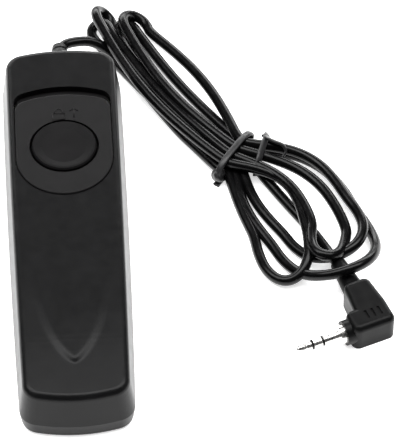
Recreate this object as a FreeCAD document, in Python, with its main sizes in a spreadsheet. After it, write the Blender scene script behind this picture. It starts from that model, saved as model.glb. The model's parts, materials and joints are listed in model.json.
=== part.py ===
import FreeCAD, Part
import math
import os
import re
import Sketcher

from FreeCAD import Placement, Rotation, Vector

# Wired remote release for a camera: a two-part moulded handset with a sliding lock panel
# and a two-stage button, a leaf-contact block inside, and a thin cord folded into a tied
# hank that ends in an angled 2.5 mm plug.  Millimetres.  Origin: centre of the handset's
# footprint on the table.  +Y runs to the cord end, +Z is up, the button faces up.

doc = FreeCAD.newDocument("cable_release")
sheet = doc.addObject("Spreadsheet::Sheet", "Sizes")

SIZES = {
    # handset outline at the parting line
    "case_length": 112.0,
    "head_width": 30.2,
    "tail_width": 27.2,
    "side_bulge": 0.5,
    "end_bulge": 2.4,
    "corner_radius": 4.6,
    "draft_angle": 7.0,
    "part_line": 4.5,
    "case_height": 16.5,
    "tail_height": 14.0,
    "slope_start": -5.0,
    "top_edge_radius": 1.8,
    "base_edge_radius": 1.2,
    "wall": 1.6,
    "cavity_top": 12.2,
    "head_room_half": 12.2,
    # V-shaped tongue
    "tongue_tip": -43.5,
    "tongue_top": -14.0,
    "tongue_half_width": 9.0,
    "tongue_height": 0.5,
    # lock panel and its opening
    "opening_half_width": 12.15,
    "opening_low": 5.45,
    "opening_far": 41.3,
    "opening_arc": 29.0,
    "opening_corner": 3.5,
    "panel_gap": 0.15,
    "slide_travel": 2.6,
    "panel_top": 16.8,
    "carrier_top": 14.6,
    "carrier_base": 12.7,
    "carrier_half_width": 11.4,
    "carrier_low": 1.0,
    "carrier_far": 44.5,
    # button
    "button_y": 21.2,
    "button_dia": 16.0,
    "button_gap": 0.6,
    "button_rim": 17.2,
    "flange_dia": 18.4,
    "flange_base": 12.9,
    "flange_top": 13.9,
    "counterbore_dia": 19.0,
    "counterbore_top": 14.2,
    "spring_room": 15.8,
    "stem_dia": 4.0,
    "stem_tip": 6.9,
    "press_travel": 1.8,
    "ear_half_width": 2.5,
    "ear_base": 12.6,
    "ear_top": 13.3,
    "ear_far": 32.4,
    # guide plate below the lock panel
    "guide_base": 8.9,
    "guide_thick": 1.0,
    "guide_post_x": 8.2,
    "guide_post_radius": 1.8,
    # fixed slide frame
    "frame_base": 11.4,
    "frame_thick": 1.2,
    "frame_half_width": 11.9,
    "window_half_width": 10.5,
    "window_low": 10.5,
    "window_far": 36.6,
    # contact leaves
    "block_top": 4.4,
    "leaf_thick": 0.15,
    "leaf_pitch": 1.0,
    "leaf_root_low": 36.0,
    "leaf_root_far": 44.0,
    "leaf_tip": 18.6,
    # cord and plug
    "cord_dia": 2.7,
    "cord_height": 7.4,
    "relief_far": 63.4,
    "hank_height": 6.4,
    "plug_height": 7.4,
    "plug_axis": 3.5,
    "pin_dia": 2.5,
}

for row, (alias, value) in enumerate(SIZES.items(), start=1):
    sheet.set("A%d" % row, alias)
    sheet.set("B%d" % row, str(value))
    sheet.setAlias("B%d" % row, alias)
doc.recompute()

ALIAS_PATTERN = re.compile(r"\b(" + "|".join(SIZES) + r")\b")


def size(alias):
    """Value of one driving dimension, read back from the sheet."""
    return float(sheet.get(alias))


FORMULA_CELL = "D1"


def worth(formula):
    """Value of a formula of driving dimensions, worked out by the sheet itself."""
    if not isinstance(formula, str):
        return float(formula)
    sheet.set(FORMULA_CELL, "=" + formula)
    sheet.recompute()
    value = float(sheet.get(FORMULA_CELL))
    sheet.clear(FORMULA_CELL)
    return value


def bind(thing, prop, formula):
    """Bind a property to a formula of driving dimensions, or set a plain number."""
    if isinstance(formula, str):
        thing.setExpression(prop, ALIAS_PATTERN.sub(r"Sizes.\1", formula))
        return
    thing.setExpression(prop, str(formula))


def bind_place(thing, x=0, y=0, z=0, prop="Placement"):
    for axis, formula in zip("xyz", (x, y, z)):
        if formula != 0:
            bind(thing, "%s.Base.%s" % (prop, axis), formula)


nodes = []


def name_node(thing, label):
    """Register a finished sub-part under the name of its file."""
    thing.Label = label
    nodes.append(thing)
    return thing


# ---------------------------------------------------------------- plain solids

def block(name, low, high):
    """A box between two corners, each given as three formulas."""
    box = doc.addObject("Part::Box", name)
    for prop, start, end in zip(("Length", "Width", "Height"), low, high):
        bind(box, prop, "(%s) - (%s)" % (end, start))
    bind_place(box, *low)
    return box


def rod(name, dia, length, at, direction=Vector(0, 0, 1)):
    """A cylinder that starts at a place and runs along a direction."""
    cylinder = doc.addObject("Part::Cylinder", name)
    bind(cylinder, "Radius", "(%s) / 2" % dia)
    bind(cylinder, "Height", length)
    cylinder.Placement = Placement(Vector(), Rotation(Vector(0, 0, 1), direction))
    bind_place(cylinder, *at)
    return cylinder


def cone(name, start_dia, end_dia, length, at, direction=Vector(0, 0, 1)):
    frustum = doc.addObject("Part::Cone", name)
    bind(frustum, "Radius1", "(%s) / 2" % start_dia)
    bind(frustum, "Radius2", "(%s) / 2" % end_dia)
    bind(frustum, "Height", length)
    frustum.Placement = Placement(Vector(), Rotation(Vector(0, 0, 1), direction))
    bind_place(frustum, *at)
    return frustum


def fuse(name, solids):
    union = doc.addObject("Part::MultiFuse", name)
    union.Shapes = solids
    return union


def cut(name, base, tools):
    """The base with one or more tools taken out of it."""
    tool = tools[0] if len(tools) == 1 else fuse(name + "_tools", tools)
    difference = doc.addObject("Part::Cut", name)
    difference.Base = base
    difference.Tool = tool
    return difference


def group(name, solids):
    """Separate identical pieces kept together as one node."""
    compound = doc.addObject("Part::Compound", name)
    compound.Links = solids
    return compound


# ---------------------------------------------------------------- sketched bodies

def new_body(name):
    return doc.addObject("PartDesign::Body", name)


def plane_of(body, role):
    return next(item for item in body.Origin.OriginFeatures if item.Role == role)


def new_sketch(body, name, role="XY_Plane", x=0, y=0, z=0):
    """A sketch on one of the body's own origin planes, moved by its attachment offset."""
    sketch = body.newObject("Sketcher::SketchObject", name)
    sketch.AttachmentSupport = [(plane_of(body, role), "")]
    sketch.MapMode = "FlatFace"
    bind_place(sketch, x, y, z, prop="AttachmentOffset")
    return sketch


def constrain(sketch, name, formula, *constraint):
    """Add a sized constraint with a formula's value and bind it to the formula."""
    index = sketch.addConstraint(Sketcher.Constraint(*constraint, worth(formula)))
    sketch.renameConstraint(index, name)
    bind(sketch, "Constraints.%s" % name, formula)


def add_circle(sketch, dia, x=0, y=0):
    """A circle, with its centre at plain offsets or formulas from the sketch origin."""
    tag = "c%d" % sketch.GeometryCount
    centre = Vector(worth(x), worth(y), 0)
    index = sketch.addGeometry(Part.Circle(centre, Vector(0, 0, 1), worth(dia) / 2))
    constrain(sketch, tag + "_x", x, "DistanceX", -1, 1, index, 3)
    constrain(sketch, tag + "_y", y, "DistanceY", -1, 1, index, 3)
    constrain(sketch, tag + "_dia", dia, "Diameter", index)


def add_rectangle(sketch, low, high):
    """A rectangle between two corners, each given as two formulas."""
    tag = "r%d" % sketch.GeometryCount
    x0, y0, x1, y1 = [worth(formula) for formula in (*low, *high)]
    corners = [Vector(x0, y0, 0), Vector(x1, y0, 0), Vector(x1, y1, 0), Vector(x0, y1, 0)]
    first = sketch.GeometryCount
    for start, end in zip(corners, corners[1:] + corners[:1]):
        sketch.addGeometry(Part.LineSegment(start, end))
    for side in range(4):
        following = first + (side + 1) % 4
        sketch.addConstraint(Sketcher.Constraint("Coincident", first + side, 2, following, 1))
    for side, kind in enumerate(("Horizontal", "Vertical", "Horizontal", "Vertical")):
        sketch.addConstraint(Sketcher.Constraint(kind, first + side))
    constrain(sketch, tag + "_x0", low[0], "DistanceX", -1, 1, first, 1)
    constrain(sketch, tag + "_y0", low[1], "DistanceY", -1, 1, first, 1)
    constrain(sketch, tag + "_x1", high[0], "DistanceX", -1, 1, first + 1, 2)
    constrain(sketch, tag + "_y1", high[1], "DistanceY", -1, 1, first + 1, 2)


def add_polygon(sketch, corners):
    """A closed polygon whose corners are pairs of formulas."""
    first = sketch.GeometryCount
    count = len(corners)
    ring = [Vector(worth(x), worth(y), 0) for x, y in corners]
    for start, end in zip(ring, ring[1:] + ring[:1]):
        sketch.addGeometry(Part.LineSegment(start, end))
    for k in range(count):
        following = first + (k + 1) % count
        sketch.addConstraint(Sketcher.Constraint("Coincident", first + k, 2, following, 1))
    for k, (x, y) in enumerate(corners):
        constrain(sketch, "p%d_x" % k, x, "DistanceX", -1, 1, first + k, 1)
        constrain(sketch, "p%d_y" % k, y, "DistanceY", -1, 1, first + k, 1)


def pad(body, sketch, length, reverse=False, taper=0):
    feature = body.newObject("PartDesign::Pad", sketch.Name + "_pad")
    feature.Profile = sketch
    feature.Reversed = reverse
    bind(feature, "Length", length)
    if taper != 0:
        bind(feature, "TaperAngle", taper)
    return feature


def pocket(body, sketch, length, reverse=False, taper=0):
    """Take material out below the sketch, or above it when reversed."""
    feature = body.newObject("PartDesign::Pocket", sketch.Name + "_pocket")
    feature.Profile = sketch
    feature.Reversed = reverse
    bind(feature, "Length", length)
    if taper != 0:
        bind(feature, "TaperAngle", taper)
    return feature


def fillet(body, base, edges, radius, name):
    feature = body.newObject("PartDesign::Fillet", name)
    feature.Base = (base, edges)
    bind(feature, "Radius", radius)
    return feature


def edges_where(shape, test):
    """Names of the edges whose middle point and length pass a test."""
    names = []
    for index, edge in enumerate(shape.Edges, start=1):
        middle = edge.valueAt((edge.FirstParameter + edge.LastParameter) / 2)
        if test(middle, edge):
            names.append("Edge%d" % index)
    return names


# ---------------------------------------------------------------- handset shells


def bulge_arc(start, end, bulge):
    """Arc from start to end that stands out to the right of the way it runs."""
    chord = end - start
    outward = Vector(chord.y, -chord.x, 0).normalize()
    return Part.Arc(start, (start + end) / 2 + outward * bulge, end)


def add_case_outline(sketch, inset="0"):
    """The handset in plan, or a line inside it: four shallow arcs that meet at four corners."""
    far = "(case_length / 2 - end_bulge - %s)" % inset
    head, tail = "(head_width / 2 - %s)" % inset, "(tail_width / 2 - %s)" % inset
    corners = [(head, far), ("-" + head, far), ("-" + tail, "-" + far), (tail, "-" + far)]
    bulges = ["end_bulge", "side_bulge", "end_bulge", "side_bulge"]
    side_chord = "sqrt(pow(2 * %s; 2) + pow(%s - %s; 2))" % (far, head, tail)
    chords = ["2 * " + head, side_chord, "2 * " + tail, side_chord]
    points = [Vector(worth(x), worth(y), 0) for x, y in corners]
    for index, bulge in enumerate(bulges):
        sketch.addGeometry(bulge_arc(points[index], points[(index + 1) % 4], size(bulge)))
    for index in range(4):
        sketch.addConstraint(Sketcher.Constraint("Coincident", index, 2, (index + 1) % 4, 1))
    for index, (x, y) in enumerate(corners):
        constrain(sketch, "corner%d_x" % index, x, "DistanceX", -1, 1, index, 1)
        constrain(sketch, "corner%d_y" % index, y, "DistanceY", -1, 1, index, 1)
    for index, (bulge, chord) in enumerate(zip(bulges, chords)):
        formula = "pow(%s; 2) / (8 * %s) + %s / 2" % (chord, bulge, bulge)
        constrain(sketch, "arc%d_radius" % index, formula, "Radius", index)


def top_height(y):
    """Height of the handset's top face: level at the head, then a long arc down to the tail."""
    start, run = size("slope_start"), size("case_length") / 2 + size("slope_start")
    drop = size("case_height") - size("tail_height")
    radius = (run ** 2 + drop ** 2) / (2 * drop)
    if y >= start:
        return size("case_height")
    return size("case_height") - radius + math.sqrt(radius ** 2 - (y - start) ** 2)


def is_slanted_corner(middle, edge):
    """True for an edge that climbs the wall at one of the four corners."""
    start, end = edge.Vertexes[0].Point, edge.Vertexes[-1].Point
    straight = abs(edge.Length - (start - end).Length) < 1e-6
    return straight and abs(start.z - end.z) > 2.5


def is_inside(shape, edge_name):
    """True for a corner edge of the cavity, which starts a wall's thickness inside the outline."""
    points = [vertex.Point for vertex in shape.getElement(edge_name).Vertexes]
    widest = max(abs(point.y) for point in points)
    return widest < size("case_length") / 2 - size("end_bulge") - size("wall") / 2


SCREW_PLACES = [(10.4, 49.5), (-10.4, 49.5), (8.6, -48.6), (-8.6, -48.6)]
FRAME_SCREWS = [(6.4, 50.4), (-6.4, 50.4), (8.6, -3.6), (-8.6, -3.6)]
POST_DIA = 4.2
POST_MEET = 6.5
PILOT_DIA = 1.6
FRAME_POST_DIA = 3.4
FRAME_PILOT_DIA = 1.4
SCREW_HEAD_DIA = 3.2
HEAD_RECESS = 1.5
CLAMP_SCREWS = [(4.6, 50.9), (-4.6, 50.9)]
BLOCK_PEGS = [(3.4, 40.0), (-3.4, 40.0)]
PEG_DIA = 2.6
RELIEF_NECK_DIA = 4.6


def window_parts(half_width, low, far, arc, corner):
    """Points and centres of the lock panel's plan shape, in the order they are drawn."""
    low_centre = Vector(0, low + half_width, 0)
    far_centre = Vector(0, far - arc, 0)
    inner = half_width - corner
    rise = math.sqrt((arc - corner) ** 2 - inner ** 2)
    corner_centre = Vector(inner, far_centre.y + rise, 0)
    touch = far_centre + (corner_centre - far_centre).normalize() * arc
    return low_centre, far_centre, corner_centre, touch


def add_window_outline(sketch, half_width, low, far, arc, corner):
    """Panel shape: round lower end, straight sides and a shallow far edge with round corners."""
    values = [worth(item) for item in (half_width, low, far, arc, corner)]
    low_centre, far_centre, corner_centre, touch = window_parts(*values)
    width, small, large = values[0], values[4], values[3]
    up = Vector(0, 0, 1)

    def arc_between(centre, radius, start, end):
        circle = Part.Circle(centre, up, radius)
        return Part.ArcOfCircle(circle, circle.parameter(start), circle.parameter(end))

    def mirror(point):
        return Vector(-point.x, point.y, 0)

    side_low = Vector(width, low_centre.y, 0)
    side_far = Vector(width, corner_centre.y, 0)
    sketch.addGeometry(arc_between(low_centre, width, mirror(side_low), side_low))
    sketch.addGeometry(Part.LineSegment(side_low, side_far))
    sketch.addGeometry(arc_between(corner_centre, small, side_far, touch))
    sketch.addGeometry(arc_between(far_centre, large, touch, mirror(touch)))
    sketch.addGeometry(arc_between(mirror(corner_centre), small, mirror(touch), mirror(side_far)))
    sketch.addGeometry(Part.LineSegment(mirror(side_far), mirror(side_low)))
    for index in range(6):
        sketch.addConstraint(Sketcher.Constraint("Tangent", index, 2, (index + 1) % 6, 1))
    sketch.addConstraint(Sketcher.Constraint("Vertical", 1))
    sketch.addConstraint(Sketcher.Constraint("PointOnObject", 0, 3, -2))
    sketch.addConstraint(Sketcher.Constraint("PointOnObject", 3, 3, -2))
    sketch.addConstraint(Sketcher.Constraint("Equal", 2, 4))
    constrain(sketch, "half_width", half_width, "Radius", 0)
    constrain(sketch, "low_centre", "(%s) + (%s)" % (low, half_width),
              "DistanceY", -1, 1, 0, 3)
    constrain(sketch, "far_arc", arc, "Radius", 3)
    constrain(sketch, "far_centre", "(%s) - (%s)" % (far, arc),
              "DistanceY", -1, 1, 3, 3)
    constrain(sketch, "corner", corner, "Radius", 2)


def build_top_shell():
    body = new_body("TopShell")
    outline = new_sketch(body, "top_outline", z="part_line")
    add_case_outline(outline)
    raised = pad(body, outline, "case_height - part_line + 2", taper="-draft_angle")
    doc.recompute()
    cavity = new_sketch(body, "top_cavity", z="part_line")
    add_case_outline(cavity, "wall")
    hollow = pocket(body, cavity, "cavity_top - part_line", reverse=True, taper="-draft_angle")
    doc.recompute()
    corners = edges_where(hollow.Shape, is_slanted_corner)
    inner = [name for name in corners if is_inside(hollow.Shape, name)]
    rounded = fillet(body, hollow, inner, "corner_radius - wall", "top_inner_corners")
    doc.recompute()
    corners = edges_where(rounded.Shape, lambda middle, edge: is_slanted_corner(middle, edge)
                          and abs(middle.y) > size("case_length") / 2 - 4)
    outer = [name for name in corners if not is_inside(rounded.Shape, name)]
    fillet(body, rounded, outer, "corner_radius", "top_corners")

    # side profile: level head, then a long arc down to the tail
    profile = new_sketch(body, "top_profile", role="YZ_Plane")
    start, level = size("slope_start"), size("case_height")
    reach, ceiling = size("case_length") / 2 + 4, level + 14
    points = [Vector(reach, level, 0), Vector(start, level, 0),
              Vector(-reach, top_height(-reach), 0), Vector(-reach, ceiling, 0), Vector(reach, ceiling, 0)]
    middle_y = (start - reach) / 2
    profile.addGeometry(Part.LineSegment(points[0], points[1]))
    profile.addGeometry(Part.Arc(points[1], Vector(middle_y, top_height(middle_y), 0), points[2]))
    profile.addGeometry(Part.LineSegment(points[2], points[3]))
    profile.addGeometry(Part.LineSegment(points[3], points[4]))
    profile.addGeometry(Part.LineSegment(points[4], points[0]))
    link = Sketcher.Constraint
    arc_low_end = 1 if profile.Geometry[1].StartPoint.x < profile.Geometry[1].EndPoint.x else 2
    arc_top_end = 3 - arc_low_end
    profile.addConstraint(link("Coincident", 0, 2, 1, arc_top_end))
    profile.addConstraint(link("Coincident", 1, arc_low_end, 2, 1))
    profile.addConstraint(link("Coincident", 2, 2, 3, 1))
    profile.addConstraint(link("Coincident", 3, 2, 4, 1))
    profile.addConstraint(link("Coincident", 4, 2, 0, 1))
    profile.addConstraint(link("Horizontal", 0))
    profile.addConstraint(link("Horizontal", 3))
    profile.addConstraint(link("Vertical", 2))
    profile.addConstraint(link("Vertical", 4))
    constrain(profile, "level", "case_height", "DistanceY", -1, 1, 0, 2)
    constrain(profile, "slope_y", "slope_start", "DistanceX", -1, 1, 0, 2)
    constrain(profile, "centre_y", "slope_start", "DistanceX", -1, 1, 1, 3)
    run, drop = "(case_length / 2 + slope_start)", "(case_height - tail_height)"
    constrain(profile, "slope_radius", "(%s * %s + %s * %s) / (2 * %s)" % (run, run, drop, drop, drop),
              "Radius", 1)
    constrain(profile, "reach_far", "case_length / 2 + 4", "DistanceX", -1, 1, 0, 1)
    constrain(profile, "reach_low", "-(case_length / 2 + 4)", "DistanceX", -1, 1, 2, 1)
    constrain(profile, "ceiling", "case_height + 14", "DistanceY", -1, 1, 3, 1)
    sloped = pocket(body, profile, "head_width + 10")
    sloped.Midplane = True
    doc.recompute()

    def is_top_edge(middle, edge):
        across = abs(middle.y - size("slope_start")) < 0.01 and edge.Length > 15
        return abs(middle.z - top_height(middle.y)) < 0.02 and not across

    softened = fillet(body, sloped, edges_where(sloped.Shape, is_top_edge), "top_edge_radius", "top_edges")
    head_room = new_sketch(body, "head_room", z="part_line")
    add_rectangle(head_room, ("-head_room_half", "slope_start - 4"), ("head_room_half", "case_length / 2 - 4.4"))
    pocket(body, head_room, "case_height - wall - part_line", reverse=True)
    doc.recompute()

    opening = new_sketch(body, "top_opening", z="case_height + 2")
    add_window_outline(opening, "opening_half_width", "opening_low", "opening_far",
                       "opening_arc", "opening_corner")
    pocket(body, opening, "wall + 2.6")

    front_posts = new_sketch(body, "front_posts", z=POST_MEET)
    rear_posts = new_sketch(body, "rear_posts", z=POST_MEET)
    for x, y in SCREW_PLACES:
        add_circle(front_posts if y > 0 else rear_posts, POST_DIA, x, y)
    pad(body, front_posts, "case_height - 1 - %s" % POST_MEET)
    pad(body, rear_posts, "tail_height - 0.4 - %s" % POST_MEET)
    frame_posts = new_sketch(body, "frame_posts", z="frame_base + frame_thick")
    for x, y in FRAME_SCREWS:
        add_circle(frame_posts, FRAME_POST_DIA, x, y)
    pad(body, frame_posts, "case_height - 1 - frame_base - frame_thick")
    backing = new_sketch(body, "tongue_backing", z="tail_height - 2.4")
    add_rectangle(backing, ("-9.6", "tongue_tip - 1"), ("9.6", "tongue_top - 2"))
    pad(body, backing, 1.9)

    case_pilots = new_sketch(body, "case_pilots", z=POST_MEET)
    for x, y in SCREW_PLACES:
        add_circle(case_pilots, PILOT_DIA, x, y)
    pocket(body, case_pilots, 5.5, reverse=True)
    frame_pilots = new_sketch(body, "frame_pilots", z="frame_base + frame_thick")
    for x, y in FRAME_SCREWS:
        add_circle(frame_pilots, FRAME_PILOT_DIA, x, y)
    pocket(body, frame_pilots, 2.0, reverse=True)

    # the cord's strain relief sits in a slot that is open at the parting line
    slot = new_sketch(body, "relief_slot", role="XZ_Plane", z="-(case_length / 2 + 1)")
    add_circle(slot, RELIEF_NECK_DIA, 0, "cord_height")
    pocket(body, slot, 6, reverse=True)
    mouth = new_sketch(body, "relief_mouth", role="XZ_Plane", z="-(case_length / 2 + 1)")
    add_rectangle(mouth, (-RELIEF_NECK_DIA / 2, "part_line - 1"), (RELIEF_NECK_DIA / 2, "cord_height"))
    pocket(body, mouth, 6, reverse=True)

    # V-shaped tongue: level with the slope at its top, it stands proud of it towards its tip
    fall = math.degrees(math.atan2(top_height(size("tongue_top")) - top_height(size("tongue_tip"))
                                   - size("tongue_height"), size("tongue_top") - size("tongue_tip")))
    tongue = new_sketch(body, "tongue")
    tongue.AttachmentOffset = Placement(
        Vector(0, size("tongue_top"), top_height(size("tongue_top"))), Rotation(Vector(1, 0, 0), fall))
    length = "(tongue_top - tongue_tip)"
    add_polygon(tongue, [
        ("-tongue_half_width", "0"), ("-tongue_half_width", "-%s * 0.15" % length),
        ("-tongue_half_width * 0.78", "-%s * 0.45" % length),
        ("-tongue_half_width * 0.46", "-%s * 0.74" % length),
        ("-tongue_half_width * 0.14", "-%s" % length), ("tongue_half_width * 0.14", "-%s" % length),
        ("tongue_half_width * 0.46", "-%s * 0.74" % length),
        ("tongue_half_width * 0.78", "-%s * 0.45" % length),
        ("tongue_half_width", "-%s * 0.15" % length), ("tongue_half_width", "0")])
    pad(body, tongue, "tongue_height + 0.6", reverse=True)
    return name_node(body, "top_shell")


def build_bottom_shell():
    body = new_body("BottomShell")
    outline = new_sketch(body, "base_outline", z="part_line")
    add_case_outline(outline)
    solid = pad(body, outline, "part_line", reverse=True, taper="-draft_angle")
    doc.recompute()
    cavity = new_sketch(body, "base_cavity", z="part_line")
    add_case_outline(cavity, "wall")
    hollow = pocket(body, cavity, "part_line - wall", taper="-draft_angle")
    doc.recompute()
    corners = edges_where(hollow.Shape, is_slanted_corner)
    inner = [name for name in corners if is_inside(hollow.Shape, name)]
    rounded = fillet(body, hollow, inner, "corner_radius - wall", "base_inner_corners")
    doc.recompute()
    outer = [name for name in edges_where(rounded.Shape, is_slanted_corner)
             if not is_inside(rounded.Shape, name)]
    rounded = fillet(body, rounded, outer, "corner_radius", "base_corners")
    doc.recompute()
    low_edges = edges_where(rounded.Shape, lambda middle, edge: abs(middle.z) < 0.01)
    fillet(body, rounded, low_edges, "base_edge_radius", "base_edges")

    posts = new_sketch(body, "base_posts", z="wall / 2")
    for x, y in SCREW_PLACES:
        add_circle(posts, POST_DIA, x, y)
    pad(body, posts, "%s - wall / 2" % POST_MEET)
    clamp_posts = new_sketch(body, "clamp_posts", z="wall / 2")
    for x, y in CLAMP_SCREWS:
        add_circle(clamp_posts, 3.0, x, y)
    pad(body, clamp_posts, "cord_height + cord_dia / 2 - wall / 2")
    pegs = new_sketch(body, "block_pegs", z="wall / 2")
    for x, y in BLOCK_PEGS:
        add_circle(pegs, PEG_DIA, x, y)
    pad(body, pegs, "block_top - wall / 2")
    tabs = new_sketch(body, "side_tabs", z="wall / 2")
    for y in (-34.0, -4.0, 24.0):
        for side in (-1, 1):
            edges = sorted((side * 10.9, side * 12.0))
            add_rectangle(tabs, (edges[0], y - 4), (edges[1], y + 4))
    pad(body, tabs, "part_line + 1.6 - wall / 2")
    tongue = new_sketch(body, "relief_tongue", z="part_line - 1")
    add_rectangle(tongue, (-RELIEF_NECK_DIA / 2 + 0.1, "case_length / 2 - wall + 0.1"),
                  (RELIEF_NECK_DIA / 2 - 0.1, "case_length / 2 - 0.2"))
    pad(body, tongue, "cord_height - %s - part_line + 0.95" % (RELIEF_NECK_DIA / 2))

    clearance = new_sketch(body, "case_clearance", z=POST_MEET + 1)
    for x, y in SCREW_PLACES:
        add_circle(clearance, PILOT_DIA, x, y)
    pocket(body, clearance, POST_MEET + 2)
    recess = new_sketch(body, "head_recess", z=HEAD_RECESS)
    for x, y in SCREW_PLACES:
        add_circle(recess, SCREW_HEAD_DIA + 0.4, x, y)
    pocket(body, recess, HEAD_RECESS + 1)
    clamp_pilots = new_sketch(body, "clamp_pilots", z="cord_height + cord_dia / 2")
    for x, y in CLAMP_SCREWS:
        add_circle(clamp_pilots, FRAME_PILOT_DIA, x, y)
    pocket(body, clamp_pilots, 4.0)
    peg_pilots = new_sketch(body, "peg_pilots", z="block_top")
    for x, y in BLOCK_PEGS:
        add_circle(peg_pilots, FRAME_PILOT_DIA, x, y)
    pocket(body, peg_pilots, 2.4)
    return name_node(body, "bottom_shell")


def screw_set(name, places, seat, reach, shank_dia, head_dia, head_thick, head_up):
    """Pan-head screws at several places, with the seat under the head at one height."""
    screws = []
    for number, (x, y) in enumerate(places, start=1):
        tag = "%s_%d" % (name, number)
        if head_up:
            shank = rod(tag + "_shank", shank_dia, reach, (x, y, "(%s) - (%s)" % (seat, reach)))
            head = rod(tag + "_head", head_dia, head_thick, (x, y, seat))
            slot_low = "(%s) + (%s) - 0.35" % (seat, head_thick)
            slot_high = "(%s) + (%s) + 0.1" % (seat, head_thick)
        else:
            shank = rod(tag + "_shank", shank_dia, reach, (x, y, seat))
            head = rod(tag + "_head", head_dia, head_thick, (x, y, "(%s) - (%s)" % (seat, head_thick)))
            slot_low = "(%s) - (%s) - 0.1" % (seat, head_thick)
            slot_high = "(%s) - (%s) + 0.35" % (seat, head_thick)
        half = head_dia * 0.3
        long_slot = block(tag + "_slot_a", (x - half, y - 0.2, slot_low), (x + half, y + 0.2, slot_high))
        cross_slot = block(tag + "_slot_b", (x - 0.2, y - half, slot_low), (x + 0.2, y + half, slot_high))
        screws.append(cut(tag, fuse(tag + "_blank", [shank, head]), [long_slot, cross_slot]))
    return name_node(group(name, screws), name)


# ---------------------------------------------------------------- lock panel and button

# the four posts under the lock panel that carry the button's guide plate
GUIDE_POSTS = [(x, y) for x in ("guide_post_x", "-guide_post_x")
               for y in ("button_y - guide_post_x", "button_y + guide_post_x")]
PANEL_EDGE_RADIUS = 0.5
PILOT_DEPTH = 2.6


def build_lock_slider():
    body = new_body("LockSlider")
    carrier = new_sketch(body, "carrier", z="carrier_base")
    add_rectangle(carrier, ("-carrier_half_width", "carrier_low"), ("carrier_half_width", "carrier_far"))
    pad(body, carrier, "carrier_top - carrier_base")
    panel = new_sketch(body, "panel", z="carrier_top - 0.2")
    add_window_outline(panel, "opening_half_width - panel_gap", "opening_low + panel_gap",
                       "opening_far - slide_travel - panel_gap", "opening_arc - panel_gap", "opening_corner")
    raised = pad(body, panel, "panel_top - carrier_top + 0.2")
    doc.recompute()
    rim = edges_where(raised.Shape, lambda middle, edge: abs(middle.z - size("panel_top")) < 0.01)
    fillet(body, raised, rim, PANEL_EDGE_RADIUS, "panel_edge")
    posts = new_sketch(body, "guide_posts", z="carrier_base")
    for x, y in GUIDE_POSTS:
        add_circle(posts, "guide_post_radius * 2", x, y)
    pad(body, posts, "carrier_base - guide_base - guide_thick", reverse=True)
    bore = new_sketch(body, "button_bore", z="panel_top + 1")
    add_circle(bore, "button_dia + 2 * button_gap", 0, "button_y")
    pocket(body, bore, "panel_top - carrier_base + 2")
    counterbore = new_sketch(body, "counterbore", z="counterbore_top")
    add_circle(counterbore, "counterbore_dia", 0, "button_y")
    pocket(body, counterbore, "counterbore_top - carrier_base + 1")
    ear_room = new_sketch(body, "ear_room", z="ear_top + 0.3")
    add_rectangle(ear_room, ("-ear_half_width - 0.4", "button_y + 7"), ("ear_half_width + 0.4", "ear_far + 0.4"))
    pocket(body, ear_room, "ear_top - carrier_base + 1")
    pilots = new_sketch(body, "guide_pilots", z="guide_base + guide_thick")
    for x, y in GUIDE_POSTS:
        add_circle(pilots, FRAME_PILOT_DIA, x, y)
    pocket(body, pilots, PILOT_DEPTH, reverse=True)
    return name_node(body, "lock_slider")


BUTTON_HOLLOW_DIA = 10.0


def build_release_button():
    """A slightly dished cap with a retaining flange and a hollow for its spring, turned about its axis."""
    body = new_body("ReleaseButton")
    section = new_sketch(body, "button_section", role="XZ_Plane")
    rim, dish_depth = "button_rim", 0.3
    radius, rim_land, edge = "button_dia / 2", 0.9, 0.35
    room = BUTTON_HOLLOW_DIA / 2
    corners = [
        ("0", "stem_tip"), ("stem_dia / 2", "stem_tip"), ("stem_dia / 2", "spring_room"),
        (room, "spring_room"), (room, "flange_base"), ("flange_dia / 2", "flange_base"),
        ("flange_dia / 2", "flange_top"), (radius, "flange_top"), (radius, "%s - %s" % (rim, edge)),
        ("%s - %s" % (radius, edge), rim), ("%s - %s" % (radius, rim_land), rim),
        ("%s - %s - 1.6" % (radius, rim_land), "%s - %s * 0.7" % (rim, dish_depth)),
        ("0", "%s - %s" % (rim, dish_depth)),
    ]
    add_polygon(section, corners)
    turned = body.newObject("PartDesign::Revolution", "button_turned")
    turned.Profile = section
    turned.ReferenceAxis = (section, ["V_Axis"])
    turned.Angle = 360
    ear = new_sketch(body, "button_ear", z="ear_base")
    add_rectangle(ear, ("-ear_half_width", "flange_dia / 2 - 1.2"), ("ear_half_width", "ear_far - button_y"))
    pad(body, ear, "ear_top - ear_base")
    bind_place(body, 0, "button_y", 0)
    return name_node(body, "release_button")


ALONG_Y = Vector(0, 1, 0)
SPRING_WIRE = 0.45
SPRING_DIA = 6.6
SPRING_COILS = 5


def build_button_spring():
    """Compression spring between the guide plate and the underside of the button cap.

    Each half turn is a round arc in a tilted plane, level where it meets the next one.
    """
    base = size("guide_base") + size("guide_thick") + SPRING_WIRE / 2 + 0.05
    rise = (size("spring_room") - base - SPRING_WIRE / 2 - 0.05) / (2 * SPRING_COILS)
    radius = (SPRING_DIA - SPRING_WIRE) / 2
    centre = Vector(0, size("button_y"), base)
    arcs = []
    for number in range(2 * SPRING_COILS):
        side = 1 if number % 2 == 0 else -1
        start = centre + Vector(side * radius, 0, number * rise)
        end = centre + Vector(-side * radius, 0, (number + 1) * rise)
        top = (start + end) / 2 + Vector(0, side * (end - start).Length / 2, 0)
        arcs.append(Part.Arc(start, top, end).toShape())
    first = centre + Vector(radius, 0, 0)
    wire_end = Part.Wire([Part.Circle(first, ALONG_Y, SPRING_WIRE / 2).toShape()])
    spring = doc.addObject("Part::Feature", "ButtonSpring")
    spring.Shape = Part.Wire(arcs).makePipeShell([wire_end], True, True)
    return name_node(spring, "button_spring")


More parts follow.
